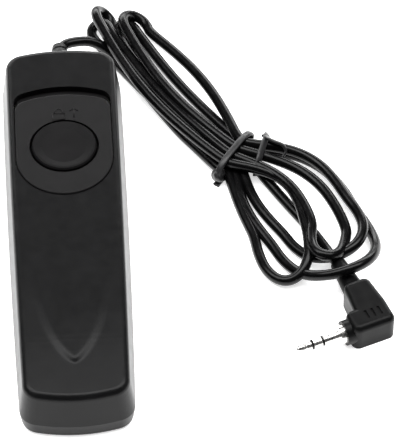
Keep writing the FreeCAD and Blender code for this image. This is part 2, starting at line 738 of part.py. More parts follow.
def build_button_guide():
    body = new_body("ButtonGuide")
    plate = new_sketch(body, "guide_plate", z="guide_base")
    add_rectangle(plate, ("-guide_post_x - 2", "button_y - guide_post_x - 2"),
                  ("guide_post_x + 2", "button_y + guide_post_x + 2"))
    pad(body, plate, "guide_thick")
    holes = new_sketch(body, "guide_holes", z="guide_base + guide_thick + 1")
    add_circle(holes, "stem_dia + 0.3", 0, "button_y")
    for x, y in GUIDE_POSTS:
        add_circle(holes, FRAME_PILOT_DIA, x, y)
    pocket(body, holes, "guide_thick + 2")
    return name_node(body, "button_guide")


# ---------------------------------------------------------------- fixed frame and catch

CATCH_SCREWS = [(2.6, 40.0), (-2.6, 40.0)]
CATCH_THICK = 0.5


def build_slide_frame():
    body = new_body("SlideFrame")
    plate = new_sketch(body, "frame_plate", z="frame_base")
    add_polygon(plate, [
        ("-frame_half_width", -6.0), ("frame_half_width", -6.0), ("frame_half_width", 46.6),
        (8.0, 46.6), (8.0, 51.4), (-8.0, 51.4), (-8.0, 46.6), ("-frame_half_width", 46.6)])
    pad(body, plate, "frame_thick")
    window = new_sketch(body, "frame_window", z="frame_base + frame_thick + 1")
    add_rectangle(window, ("-window_half_width", "window_low"), ("window_half_width", "window_far"))
    for x, y in FRAME_SCREWS:
        add_circle(window, FRAME_PILOT_DIA, x, y)
    for x, y in CATCH_SCREWS:
        add_circle(window, 1.2, x, y)
    pocket(body, window, "frame_thick + 2")
    return name_node(body, "slide_frame")


def build_lock_catch():
    """Bent steel strip: its raised tongue holds the button down once the panel is pushed forward."""
    body = new_body("LockCatch")
    side = new_sketch(body, "catch_side", role="YZ_Plane")
    step, top = "window_far - 0.6", "frame_base + 1"
    tongue_tip = "button_y + flange_dia / 2 + slide_travel + 0.6"
    add_polygon(side, [
        (tongue_tip, "%s - %s" % (top, CATCH_THICK)), (tongue_tip, top),
        ("%s + %s" % (step, CATCH_THICK), top), ("%s + %s" % (step, CATCH_THICK), "frame_base"),
        (43.5, "frame_base"), (43.5, "frame_base - %s" % CATCH_THICK),
        (step, "frame_base - %s" % CATCH_THICK), (step, "%s - %s" % (top, CATCH_THICK))])
    strip = pad(body, side, 8.0)
    strip.Midplane = True
    holes = new_sketch(body, "catch_holes", z="frame_base + 2")
    for x, y in CATCH_SCREWS:
        add_circle(holes, 1.2, x, y)
    pocket(body, holes, 4)
    return name_node(body, "lock_catch")


# ---------------------------------------------------------------- contacts

LEAF_ROOT_HALF = 5.0
TAIL_WIDTH = 1.6
CONTACTS = [("shutter_leaf", 0, -3.0), ("focus_leaf", 1, 0.0), ("common_leaf", 2, 3.0)]


def leaf_height(level):
    return "block_top + %d * leaf_pitch" % level


def build_leaf(label, level, tail_x):
    """Spring leaf: a wide clamped root, a long tongue under the button and a solder tail."""
    body = new_body("Leaf%d" % level)
    plan = new_sketch(body, label + "_plan", z=leaf_height(level))
    tongue = 1.9
    add_polygon(plan, [
        (-tongue, "leaf_tip"), (tongue, "leaf_tip"), (tongue, "leaf_root_low"),
        (LEAF_ROOT_HALF, "leaf_root_low"), (LEAF_ROOT_HALF, "leaf_root_far"),
        (tail_x + TAIL_WIDTH / 2, "leaf_root_far"), (tail_x + TAIL_WIDTH / 2, "leaf_root_far + 2.4"),
        (tail_x - TAIL_WIDTH / 2, "leaf_root_far + 2.4"), (tail_x - TAIL_WIDTH / 2, "leaf_root_far"),
        (-LEAF_ROOT_HALF, "leaf_root_far"), (-LEAF_ROOT_HALF, "leaf_root_low"), (-tongue, "leaf_root_low")])
    pad(body, plan, "leaf_thick")
    if level > 0:
        pip = new_sketch(body, label + "_pip", z=leaf_height(level))
        add_circle(pip, 1.4, 0, "button_y + 0.6")
        pad(body, pip, 0.3, reverse=True)
    holes = new_sketch(body, label + "_holes", z=leaf_height(level) + " + 1")
    for x, y in BLOCK_PEGS:
        add_circle(holes, FRAME_PILOT_DIA, x, y)
    pocket(body, holes, 2)
    return name_node(body, label)


def plate_with_holes(name, low, high, hole_dia, places):
    plate = block(name + "_plate", low, high)
    drills = [rod("%s_drill_%d" % (name, number), hole_dia, "(%s) - (%s) + 2" % (high[2], low[2]),
                  (x, y, "(%s) - 1" % low[2])) for number, (x, y) in enumerate(places)]
    return cut(name, plate, drills)


def build_contacts():
    root = LEAF_ROOT_HALF
    block_piece = plate_with_holes(
        "ContactBlock", (-root, "leaf_root_low - 1", "wall"), (root, "leaf_root_far + 1", "block_top"),
        PEG_DIA, BLOCK_PEGS)
    name_node(block_piece, "contact_block")
    for label, level, tail_x in CONTACTS:
        build_leaf(label, level, tail_x)
    spacers = []
    for level in (0, 1):
        low = leaf_height(level) + " + leaf_thick"
        spacers.append(plate_with_holes(
            "Spacer%d" % level, (-root, "leaf_root_low", low), (root, "leaf_root_far", leaf_height(level + 1)),
            FRAME_PILOT_DIA, BLOCK_PEGS))
    name_node(group("LeafSpacers", spacers), "leaf_spacers")
    low = leaf_height(2) + " + leaf_thick"
    name_node(plate_with_holes(
        "LeafClamp", (-root, "leaf_root_low", low), (root, "leaf_root_far", low + " + 0.8"),
        FRAME_PILOT_DIA, BLOCK_PEGS), "leaf_clamp")
    screw_set("leaf_screws", BLOCK_PEGS, low + " + 0.8", 5.0, FRAME_PILOT_DIA, 2.6, 0.7, True)


def build_wires():
    """Three insulated conductors from the cord to their solder joints, and the joints."""
    joints = []
    start_y = size("leaf_root_far") + 4.4
    for number, (label, level, tail_x) in enumerate(CONTACTS):
        tail_top = size("block_top") + level * size("leaf_pitch") + size("leaf_thick")
        joint_y = size("leaf_root_far") + 1.4
        joint = cone("joint_%d" % number, 1.5, 0.9, 0.7, (tail_x, joint_y, tail_top))
        joints.append(joint)
        start = Vector(0.75 * (number - 1), start_y, size("cord_height") - 0.3 * abs(number - 1))
        end = Vector(tail_x, joint_y, tail_top + 0.7)
        over = Vector(tail_x, joint_y + 1.2, tail_top + 1.1)
        line = Part.BSplineCurve()
        line.interpolate([start, over, end])
        wire = Part.Wire([line.toShape()])
        circle = Part.Wire([Part.Circle(start, line.tangent(line.FirstParameter)[0], 0.4).toShape()])
        feature = doc.addObject("Part::Feature", "Wire%d" % number)
        feature.Shape = wire.makePipeShell([circle], True, True)
        name_node(feature, "wire_" + label.split("_")[0])
    name_node(group("SolderJoints", joints), "solder_joints")


# ---------------------------------------------------------------- cord, clamp and strain relief

def build_cord_clamp():
    top = "cord_height + cord_dia / 2"
    name_node(plate_with_holes("CordClamp", (-6.2, 49.8, top), (6.2, 52.0, top + " + 0.9"),
                               FRAME_PILOT_DIA, CLAMP_SCREWS), "cord_clamp")
    screw_set("clamp_screws", CLAMP_SCREWS, top + " + 0.9", 4.4, FRAME_PILOT_DIA, 2.6, 0.6, True)


def build_strain_relief():
    """Moulded sleeve: inner flange, neck in the end wall, collar and a ribbed taper outside."""
    inner = "case_length / 2 - wall"
    flange = rod("relief_flange", 6.6, 1.2, (0, inner + " - 2.2", "cord_height"), ALONG_Y)
    neck = rod("relief_neck", RELIEF_NECK_DIA, "wall + 1.5", (0, inner + " - 1.1", "cord_height"), ALONG_Y)
    outer = "case_length / 2 + 0.15"
    collar = rod("relief_collar", 5.6, 1.2, (0, outer, "cord_height"), ALONG_Y)
    taper = cone("relief_taper", 5.0, 3.8, "relief_far - case_length / 2 - 0.15",
                 (0, outer, "cord_height"), ALONG_Y)
    blank = fuse("relief_blank", [flange, neck, collar, taper])
    tools = [rod("relief_bore", "cord_dia", 20, (0, inner + " - 4", "cord_height"), ALONG_Y)]
    for number, offset in enumerate((2.3, 3.9, 5.5)):
        place = "case_length / 2 + %s" % offset
        ring = rod("relief_ring_%d" % number, 7, 0.6, (0, place, "cord_height"), ALONG_Y)
        core = rod("relief_core_%d" % number, 3.5, 0.8, (0, place + " - 0.1", "cord_height"), ALONG_Y)
        tools.append(cut("relief_groove_%d" % number, ring, [core]))
    return name_node(cut("StrainRelief", blank, tools), "strain_relief")


def rounded_path(points):
    """Straight runs joined by tangent arcs as large as the runs beside them allow."""
    edges = []
    radii = []
    start = points[0]
    for before, corner, after in zip(points, points[1:], points[2:]):
        inward, outward = (before - corner), (after - corner)
        turn = math.pi - inward.getAngle(outward)
        radius = 0.45 * min(inward.Length, outward.Length) / math.tan(turn / 2)
        radii.append(round(radius, 1))
        trim = radius * math.tan(turn / 2)
        first = corner + inward.normalize() * trim
        last = corner + outward.normalize() * trim
        toward_centre = (inward + outward).normalize()
        centre = corner + toward_centre * (radius / math.cos(turn / 2))
        middle = centre - toward_centre * radius
        edges.append(Part.LineSegment(start, first).toShape())
        edges.append(Part.Arc(first, middle, last).toShape())
        start = last
    edges.append(Part.LineSegment(start, points[-1]).toShape())
    return Part.Wire(edges), radii


def build_tube(name, label, points):
    """Round cord along a route, with its volume compared with section times length."""
    path, radii = rounded_path(points)
    radius = size("cord_dia") / 2
    start = points[0]
    profile = Part.Wire([Part.Circle(start, points[1] - start, radius).toShape()])
    tube = path.makePipeShell([profile], True, False)
    expected = math.pi * radius ** 2 * path.Length
    print("%s: length %.1f, radii %s, volume %.1f of %.1f" % (label, path.Length, radii, tube.Volume, expected))
    feature = doc.addObject("Part::Feature", name)
    feature.Shape = tube
    feature.Placement = Placement()
    return name_node(feature, label)


# route of the cord from the case's end wall to where it goes under the hank
EXIT_ROUTE = [
    (0.0, 55.6, 7.4), (0.0, 61.6, 7.4), (0.9, 65.2, 7.0), (4.1, 67.0, 6.2),
    (7.9, 66.9, 5.0), (11.2, 64.9, 3.6), (13.8, 61.6, 2.4),
]

# outline of the folded and tied hank, seen from above, in order round it
HANK_OUTLINE = [
    (12.2, 61.2), (5.9, 70.6), (8.6, 79.6), (14.0, 82.0), (20.5, 79.0), (27.5, 68.5),
    (33.5, 56.5), (39.0, 43.5), (45.0, 34.8), (52.0, 29.4), (63.0, 24.0), (73.5, 13.8),
    (78.2, 1.5), (76.0, -9.0), (68.0, -15.6), (58.0, -17.2), (49.5, -15.2), (44.8, -8.0),
    (42.0, 4.5), (36.5, 17.0), (29.5, 30.5), (20.5, 46.0),
]

# the two wraps of the tie: middle of each, the way it runs across the hank, and its half length
TIE_WRAPS = [((42.6, 26.9), (0.70, 0.71), 7.3), ((49.0, 24.4), (0.34, 0.94), 6.9)]
HANK_EDGE_RADIUS = 1.2
TIE_WIDTH = 1.6
TIE_THICK = 0.5


def build_cord():
    tail = rod("CordTail", "cord_dia", "case_length / 2 - 0.4 - leaf_root_far - 4.4",
               (0, "leaf_root_far + 4.4", "cord_height"), ALONG_Y)
    name_node(tail, "cord_tail")
    build_tube("CordExitRun", "cord_exit_run", [Vector(*point) for point in EXIT_ROUTE])

    curve = Part.BSplineCurve()
    curve.interpolate(Points=[Vector(x, y, 0) for x, y in HANK_OUTLINE], PeriodicFlag=True)
    slab = Part.Face(Part.Wire([curve.toShape()])).extrude(Vector(0, 0, size("hank_height")))
    upper = [edge for edge in slab.Edges if abs(edge.BoundBox.ZMin - size("hank_height")) < 0.01]
    blank = doc.addObject("Part::Feature", "HankBlank")
    blank.Shape = slab.makeFillet(HANK_EDGE_RADIUS, upper)
    room = block("PlugTailRoom", (ARM_CENTRE - 3.0, -PLUG_TAIL_END, 0), (ARM_CENTRE + 3.0, 4.0, "hank_height + 1"))
    room.Placement = plug_place()
    return name_node(cut("CordHank", blank, [room]), "cord_hank")


def build_twist_tie():
    """Two wraps of a flat plastic-covered wire round the hank, and its twisted tail."""
    wraps = []
    for number, ((x, y), (dx, dy), half) in enumerate(TIE_WRAPS):
        angle = math.degrees(math.atan2(dy, dx))
        outer = block("wrap_%d_outer" % number, (-half - TIE_THICK, -TIE_WIDTH / 2, 0),
                      (half + TIE_THICK, TIE_WIDTH / 2, "hank_height + %s" % TIE_THICK))
        inner = block("wrap_%d_inner" % number, (-half, -TIE_WIDTH, TIE_THICK),
                      (half, TIE_WIDTH, "hank_height"))
        wrap = cut("wrap_%d" % number, outer, [inner])
        wrap.Placement = Placement(Vector(x, y, 0), Rotation(Vector(0, 0, 1), angle))
        wraps.append(wrap)
    tail = cone("tie_tail", 1.4, 1.1, 6.0, (50.2, 27.6, "hank_height + 0.2"), Vector(1, 0.15, 0))
    return name_node(fuse("TwistTie", wraps + [tail]), "twist_tie")


# ---------------------------------------------------------------- plug

PLUG_PLACE = (71.3, -29.3)
PLUG_ANGLE = 200.0
HEAD_HALF = 5.5
HEAD_DEPTH = 3.4
ARM_CENTRE = -1.3
ARM_HALF = 4.2
ARM_END_HALF = 3.3
ARM_END = 11.4
PLUG_CORNER = 1.8
PLUG_EDGE = 1.5
BOSS_DIA = 6.2
BOSS_END = 7.0
COLLAR_DIA = 4.8
PLUG_TAIL_END = 20.5
PLUG_TAIL_DIAS = (5.6, 3.9)
PLUG_TAIL_HEIGHT = 2.9
PIN_STEPS = [("plug_collar", BOSS_END, 8.4), ("plug_sleeve", 8.4, 12.4), ("plug_ring", 13.0, 15.2)]
RING_STEPS = [(12.4, 13.0), (15.2, 15.8)]
TIP_START = 15.8
TIP_END = 19.7
GRIP_GROOVES = [ARM_CENTRE - 1.3, ARM_CENTRE + 0.4, ARM_CENTRE + 2.1]
GRIP_HALF_WIDTH = 0.3
GRIP_LOW = -1.6
GRIP_FAR = 0.9


def plug_place():
    """Where the plug's own axes lie: pin along +X, cord arm along -Y."""
    return Placement(Vector(*PLUG_PLACE, 0), Rotation(Vector(0, 0, 1), PLUG_ANGLE))


def build_plug():
    body = new_body("PlugHousing")
    plan = new_sketch(body, "plug_plan")
    add_polygon(plan, [
        (-HEAD_HALF, HEAD_DEPTH), (ARM_CENTRE - ARM_HALF, -HEAD_DEPTH),
        (ARM_CENTRE - ARM_END_HALF, -ARM_END), (ARM_CENTRE + ARM_END_HALF, -ARM_END),
        (ARM_CENTRE + ARM_HALF, -HEAD_DEPTH), (HEAD_HALF, -HEAD_DEPTH), (HEAD_HALF, HEAD_DEPTH)])
    solid = pad(body, plan, "plug_height")
    doc.recompute()
    elbow = ARM_CENTRE + ARM_HALF
    upright = edges_where(solid.Shape, lambda middle, edge: abs(middle.z - size("plug_height") / 2) < 0.01
                          and not (abs(middle.y + HEAD_DEPTH) < 0.01 and middle.x < elbow + 0.01))
    rounded = fillet(body, solid, upright, PLUG_CORNER, "plug_corners")
    doc.recompute()
    upper = edges_where(rounded.Shape, lambda middle, edge: abs(middle.z - size("plug_height")) < 0.01)
    fillet(body, rounded, upper, PLUG_EDGE, "plug_edges")
    boss = new_sketch(body, "plug_boss", role="YZ_Plane", z=HEAD_HALF - PLUG_CORNER)
    add_circle(boss, BOSS_DIA, 0, "plug_axis")
    pad(body, boss, BOSS_END - HEAD_HALF + PLUG_CORNER)
    ribs = new_sketch(body, "plug_grooves", z="plug_height + 0.5")
    for x in GRIP_GROOVES:
        add_rectangle(ribs, (x - GRIP_HALF_WIDTH, GRIP_LOW), (x + GRIP_HALF_WIDTH, GRIP_FAR))
    pocket(body, ribs, 0.9)
    root = new_sketch(body, "plug_tail_root", role="XZ_Plane", z=ARM_END - 0.4)
    add_circle(root, PLUG_TAIL_DIAS[0], ARM_CENTRE, PLUG_TAIL_HEIGHT)
    mouth = new_sketch(body, "plug_tail_mouth", role="XZ_Plane", z=PLUG_TAIL_END)
    add_circle(mouth, PLUG_TAIL_DIAS[1], ARM_CENTRE, PLUG_TAIL_HEIGHT)
    tail = body.newObject("PartDesign::AdditiveLoft", "plug_tail")
    tail.Profile = root
    tail.Sections = [mouth]
    tail.Ruled = True
    body.Placement = plug_place()
    name_node(body, "plug_housing")

    along = Vector(1, 0, 0)
    for label, start, end in PIN_STEPS:
        dia = COLLAR_DIA if label == "plug_collar" else "pin_dia"
        name_node(set_down_pin(rod(label + "_body", dia, end - start, (0, 0, 0), along), start), label)
    rings = [set_down_pin(rod("insulator_%d" % number, "pin_dia", end - start, (0, 0, 0), along), start)
             for number, (start, end) in enumerate(RING_STEPS)]
    name_node(group("PlugInsulators", rings), "plug_insulators")
    build_tip()


def set_down_pin(thing, start):
    """Place a pin piece so that it starts at a distance along the pin's axis."""
    angle = math.radians(PLUG_ANGLE)
    base = Vector(PLUG_PLACE[0] + start * math.cos(angle), PLUG_PLACE[1] + start * math.sin(angle),
                  size("plug_axis"))
    thing.Placement = Placement(base, Rotation(Vector(0, 0, 1), Vector(math.cos(angle), math.sin(angle), 0)))
    bind(thing, "Placement.Base.z", "plug_axis")
    return thing


def build_tip():
    """Bullet-shaped contact tip with a shallow waist behind its nose, turned about the pin's axis."""
    body = new_body("PlugTip")
    section = new_sketch(body, "tip_section", role="XZ_Plane")
    length = TIP_END - TIP_START
    add_polygon(section, [
        (0, 0), ("pin_dia / 2", 0), ("pin_dia / 2", 0.7), ("pin_dia / 2 - 0.2", 1.2),
        ("pin_dia / 2 - 0.05", 1.9), ("pin_dia / 2 - 0.2", 2.7), ("pin_dia / 2 - 0.6", length - 0.5),
        (0, length)])
    turned = body.newObject("PartDesign::Revolution", "tip_turned")
    turned.Profile = section
    turned.ReferenceAxis = (section, ["V_Axis"])
    turned.Angle = 360
    name_node(set_down_pin(body, TIP_START), "plug_tip")


# ---------------------------------------------------------------- assembly

build_top_shell()
build_bottom_shell()
screw_set("case_screws", SCREW_PLACES, HEAD_RECESS, 9.5, PILOT_DIA, SCREW_HEAD_DIA, 1.1, False)
build_slide_frame()
screw_set("frame_screws", FRAME_SCREWS, "frame_base", 3.0, FRAME_PILOT_DIA, 2.8, 0.9, False)
build_lock_catch()
screw_set("catch_screws", CATCH_SCREWS, "frame_base - %s" % CATCH_THICK, 1.6, 1.2, 2.2, 0.6, False)
build_lock_slider()
build_release_button()
build_button_spring()
build_button_guide()
screw_set("guide_screws", [(worth(x), worth(y)) for x, y in GUIDE_POSTS], "guide_base", 3.4, FRAME_PILOT_DIA, 2.8, 0.8, False)
build_contacts()
build_wires()
build_cord_clamp()
build_strain_relief()
build_cord()
build_twist_tie()
build_plug()

doc.recompute()
for thing in doc.Objects:
    if "Invalid" in thing.State or "Error" in thing.State:
        raise RuntimeError("%s did not recompute: %s" % (thing.Name, thing.State))
os.makedirs("parts", exist_ok=True)
for node in nodes:
    shape = node.Shape
    if shape.isNull() or not shape.isValid():
        raise RuntimeError("%s has no valid shape" % node.Label)
    shape.exportStep("parts/%s.step" % node.Label)
    print("%-16s solids %d volume %.2f" % (node.Label, len(shape.Solids), shape.Volume))
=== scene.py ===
import json
import math

import bmesh
import bpy
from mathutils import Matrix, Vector


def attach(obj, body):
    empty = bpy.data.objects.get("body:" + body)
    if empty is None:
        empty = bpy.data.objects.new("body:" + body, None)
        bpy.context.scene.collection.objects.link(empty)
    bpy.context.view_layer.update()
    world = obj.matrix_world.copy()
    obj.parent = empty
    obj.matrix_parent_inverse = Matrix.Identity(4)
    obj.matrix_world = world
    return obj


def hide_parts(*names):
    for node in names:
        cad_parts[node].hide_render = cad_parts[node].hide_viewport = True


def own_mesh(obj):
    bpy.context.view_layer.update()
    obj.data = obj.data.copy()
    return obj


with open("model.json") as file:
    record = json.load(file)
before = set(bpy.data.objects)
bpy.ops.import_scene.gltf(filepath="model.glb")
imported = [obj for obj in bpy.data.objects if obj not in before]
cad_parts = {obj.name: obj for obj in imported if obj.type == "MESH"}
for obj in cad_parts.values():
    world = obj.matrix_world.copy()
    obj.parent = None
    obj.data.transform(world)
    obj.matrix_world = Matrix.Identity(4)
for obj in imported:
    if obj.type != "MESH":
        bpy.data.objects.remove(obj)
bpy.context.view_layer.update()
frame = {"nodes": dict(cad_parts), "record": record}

MM = 0.001
SLOTS = {row["node"]: row["material_slot"] for row in frame["record"]["subparts"]}


def metres(*values):
    return Vector(values) * MM


# ---------------------------------------------------------------- camera

IMAGE_LONG_SIDE = 448
SENSOR = 36.0
CAMERA_AZIMUTH = math.radians(3.8)
CAMERA_ELEVATION = math.radians(50.0)
CAMERA_DISTANCE = 0.750
LOOK_AT = metres(32.6, 3.6, 5.0)
SHOWN_PER_MM = 4.05
CLIP_RANGE = (0.01, 20.0)


def make_camera():
    """A long lens above the tail, looking a little across the handset, as a shop picture is taken."""
    data = bpy.data.cameras.new("camera")
    data.sensor_fit = "AUTO"
    data.sensor_width = SENSOR
    data.lens = SHOWN_PER_MM / MM * CAMERA_DISTANCE * SENSOR / IMAGE_LONG_SIDE
    data.clip_start, data.clip_end = CLIP_RANGE
    camera = bpy.data.objects.new("camera", data)
    bpy.context.scene.collection.objects.link(camera)
    flat = math.cos(CAMERA_ELEVATION)
    down = math.sin(CAMERA_ELEVATION)
    toward = Vector((math.sin(CAMERA_AZIMUTH) * flat, math.cos(CAMERA_AZIMUTH) * flat, -down))
    camera.location = LOOK_AT - toward * CAMERA_DISTANCE
    camera.rotation_euler = (math.pi / 2 - CAMERA_ELEVATION, 0, -CAMERA_AZIMUTH)
    bpy.context.scene.camera = camera


# ---------------------------------------------------------------- the cord's one line

CORD_DIAMETER = 2.7
CORD_CURVE_STEPS = 12
CORD_ROUND_STEPS = 6

# Where the cord leaves the strain relief and comes down to the table, then runs to the tie, and
# from the tie to the plug. Places are in mm.
EXIT_ROUTE = [
    (0, 55.6, 7.4), (0, 61.6, 7.4), (1, 64.5, 7.2), (4, 66.0, 6.6), (8, 67.0, 5.6), (11.5, 66.5, 3.8),
    (14, 65, 2.2), (16, 62.5, 1.5),
]
RUN_TO_TIE = [(19.5, 56, 1.4), (25, 45.5, 1.4), (29.5, 37.5, 1.4), (34, 31, 1.5)]
RUN_TO_PLUG = [
    (51, 18.5, 1.5), (55, 11.5, 1.4), (59.5, 4, 1.4), (63, -3, 1.4), (64.5, -7, 2.2), (65.5, -9.6, 2.8),
    (66.5, -12.4, 2.9),
]

TIE_CENTRE = Vector((42.9, 27.0))
TIE_ACROSS = Vector((0.58, 0.81))
HANK_AXIS = Vector((0.81, -0.58))
TIE_REACH = 1.4
LOWER_LAYER = 2.2
UPPER_LAYER = 4.8

# Where each strand lies in the tie: how far across the bundle, and in which layer.
TIE_SLOTS = {
    "low_1": (-5.3, LOWER_LAYER), "low_2": (-2.65, LOWER_LAYER), "low_3": (0.0, LOWER_LAYER),
    "low_4": (2.65, LOWER_LAYER), "low_5": (5.3, LOWER_LAYER),
    "top_1": (-4.0, UPPER_LAYER), "top_2": (-1.35, UPPER_LAYER), "top_3": (1.35, UPPER_LAYER),
    "top_4": (4.0, UPPER_LAYER),
}

# The hank's turns, in the cord's order: a loose loop on the plug's side of the tie, then a tight
# fold on the handset's side. Each is an oval arc with a leg to the tie on either side. It has its
# centre, its length towards the tip and half width, the way it points, the way round (+1 for
# anticlockwise), how far each leg bows outwards, and the heights of its first side, its tip and
# its last side. It ends in the named slot.
HANK = [
    ("top_1", dict(centre=(52.6, -3), size=(10.5, 6.3), points=(0.1, -1), way=1, bows=(0.5, 5.5),
                   heights=(1.4, 2.4, 5.2))),
    ("low_3", dict(centre=(12.2, 75.8), size=(3.3, 2.2), points=(-0.2, 1), way=-1, bows=(3.5, -3.0),
                   heights=(6.2, 3.8, 1.5))),
    ("top_4", dict(centre=(63.5, 1.5), size=(9.7, 9.2), points=(0.45, -0.9), way=1, bows=(2.0, 5.5),
                   heights=(1.6, 4.8, 4.6))),
    ("top_3", dict(centre=(20.2, 73.4), size=(3.8, 3.3), points=(-0.25, 1), way=1, bows=(3.0, 3.0),
                   heights=(2.2, 3.9, 5.8))),
    ("top_2", dict(centre=(63.6, -2.8), size=(7, 4.3), points=(-0.2, -0.98), way=-1, bows=(6.0, -4.0),
                   heights=(4.6, 6.6, 5.8))),
    ("low_2", dict(centre=(10.8, 73.4), size=(2.6, 2.2), points=(-0.3, 1), way=1, bows=(-2.0, 1.0),
                   heights=(3.4, 2.2, 1.4))),
    ("low_5", dict(centre=(63.5, -2.5), size=(13, 12), points=(0.4, -0.92), way=1, bows=(2.0, 6.0),
                   heights=(1.5, 7.4, 1.5))),
    ("low_4", dict(centre=(17.6, 73.4), size=(2.6, 2.5), points=(-0.4, 1), way=1, bows=(-1.5, 3.0),
                   heights=(1.8, 2.0, 1.4))),
]
FIRST_SLOT = "low_1"
LEG_POINTS = 4
ARC_STEPS = 6


def in_tie(slot, shift=0.0):
    """The point of a strand in the tie, moved along the hank by shift."""
    across, height = TIE_SLOTS[slot]
    flat = TIE_CENTRE + TIE_ACROSS * across + HANK_AXIS * shift
    return Vector((flat.x, flat.y, height))


def leg_points(base, head, bow):
    """Points of one leg from the tie to an arc, bowed to its left by the given distance."""
    chord = head - base
    left = Vector((-chord.y, chord.x, 0)).normalized()
    points = []
    for number in range(1, LEG_POINTS + 1):
        share = number / (LEG_POINTS + 1)
        points.append(base.lerp(head, share) + left * bow * math.sin(math.pi * share))
    return points


def turn_points(base, end, centre, size, points, way, bows, heights):
    """Points of one turn of the hank: a leg out, an oval arc round its tip, and a leg back."""
    length, half_width = size
    heading = Vector(points).normalized()
    outward = Vector((heading.y, -heading.x)) * way
    step = math.pi / ARC_STEPS
    hull = 1 / math.cos(step / 2)
    lift = (heights[2] - heights[0]) / 2
    dip = (heights[0] + heights[2]) / 2 - heights[1]
    arc = []
    for number in range(ARC_STEPS + 1):
        angle = number * step - math.pi / 2
        along, across = math.cos(angle) * hull, math.sin(angle)
        flat = Vector(centre) + heading * length * along - outward * half_width * across
        arc.append(Vector((flat.x, flat.y, heights[1] + lift * across + dip * across ** 2)))
    lead = Vector((heading.x, heading.y, 0)) * length * step
    head, tail = arc[0] - lead, arc[-1] - lead
    first_leg = leg_points(base, head, -way * bows[0])
    last_leg = leg_points(end, tail, way * bows[1])
    return first_leg + [head] + arc + [tail] + last_leg[::-1]


def cord_points():
    """Every control point of the cord, from inside the strain relief to inside the plug."""
    points = EXIT_ROUTE + RUN_TO_TIE + [in_tie(FIRST_SLOT, -TIE_REACH), in_tie(FIRST_SLOT, TIE_REACH)]
    slot, reach = FIRST_SLOT, TIE_REACH
    for next_slot, shape in HANK:
        points += turn_points(in_tie(slot, reach), in_tie(next_slot, reach), **shape)
        points += [in_tie(next_slot, reach), in_tie(next_slot, -reach)]
        slot, reach = next_slot, -reach
    return points + RUN_TO_PLUG


def make_cord():
    data = bpy.data.curves.new("cord", "CURVE")
    data.dimensions = "3D"
    data.resolution_u = CORD_CURVE_STEPS
    data.bevel_depth = CORD_DIAMETER / 2 * MM
    data.bevel_resolution = CORD_ROUND_STEPS
    data.use_fill_caps = True
    points = cord_points()
    spline = data.splines.new("NURBS")
    spline.points.add(len(points) - 1)
    for place, point in zip(spline.points, points):
        place.co = (*metres(*point), 1)
    spline.order_u = 3
    spline.use_endpoint_u = True
    cord = bpy.data.objects.new("cord", data)
    bpy.context.scene.collection.objects.link(cord)
    return cord


make_camera()
cord = make_cord()


# ---------------------------------------------------------------- materials

NOISE_MIDDLE = (0.3, 0.7)
GLOSS_SHARE = 0.4


def new_material(name):
    material = bpy.data.materials.new(name)
    material.use_nodes = True
    nodes = material.node_tree.nodes
    return material, nodes, material.node_tree.links, nodes["Principled BSDF"]


def noise(nodes, links, coords, size_mm, detail=3.0, stretch=(1, 1, 1)):
    """A noise of the given feature size, in object space."""
    mapping = nodes.new("ShaderNodeMapping")
    mapping.inputs["Scale"].default_value = [axis / (size_mm * MM) for axis in stretch]
    links.new(coords.outputs["Object"], mapping.inputs["Vector"])
    texture = nodes.new("ShaderNodeTexNoise")
    texture.inputs["Scale"].default_value = 1.0
    texture.inputs["Detail"].default_value = detail
    links.new(mapping.outputs["Vector"], texture.inputs["Vector"])
    return texture


def spread(nodes, links, texture, low, high):
    """Maps a noise's middle range to low..high."""
    ranged = nodes.new("ShaderNodeMapRange")
    ranged.inputs["From Min"].default_value = NOISE_MIDDLE[0]
    ranged.inputs["From Max"].default_value = NOISE_MIDDLE[1]
    ranged.inputs["To Min"].default_value = low
    ranged.inputs["To Max"].default_value = high
    links.new(texture.outputs["Fac"], ranged.inputs["Value"])
    return ranged


def surface(name, colour, rough, metal=0.0, specular=0.5, grain=(0.25, 0.02), mottle=(6.0, 0.15),
            stretch=(1, 1, 1)):
    """One solid material: a base colour with cloudy variation, uneven gloss and a fine relief.

    rough is the (smoothest, roughest) gloss, grain the relief's (feature size, depth) in mm, and
    mottle the colour clouds' (size in mm, strength). The gloss varies over GLOSS_SHARE of that size.
    """
    material, nodes, links, shader = new_material(name)
    coords = nodes.new("ShaderNodeTexCoord")
    clouds = noise(nodes, links, coords, mottle[0], 4.0)
    ramp = nodes.new("ShaderNodeValToRGB")
    dark = [channel * (1 - mottle[1]) for channel in colour]
    light = [min(1.0, channel * (1 + mottle[1])) for channel in colour]
    for stop, position, shade in zip(ramp.color_ramp.elements, NOISE_MIDDLE, (dark, light)):
        stop.position = position
        stop.color = (*shade, 1)
    links.new(clouds.outputs["Fac"], ramp.inputs["Fac"])
    links.new(ramp.outputs["Color"], shader.inputs["Base Color"])
    gloss = noise(nodes, links, coords, mottle[0] * GLOSS_SHARE, 3.0)
    links.new(spread(nodes, links, gloss, *rough).outputs["Result"], shader.inputs["Roughness"])
    fine = noise(nodes, links, coords, grain[0], 2.0, stretch)
    bump = nodes.new("ShaderNodeBump")
    bump.inputs["Strength"].default_value = 1.0
    bump.inputs["Distance"].default_value = grain[1] * MM
    links.new(fine.outputs["Fac"], bump.inputs["Height"])
    links.new(bump.outputs["Normal"], shader.inputs["Normal"])
    shader.inputs["Metallic"].default_value = metal
    shader.inputs["Specular IOR Level"].default_value = specular
    return material


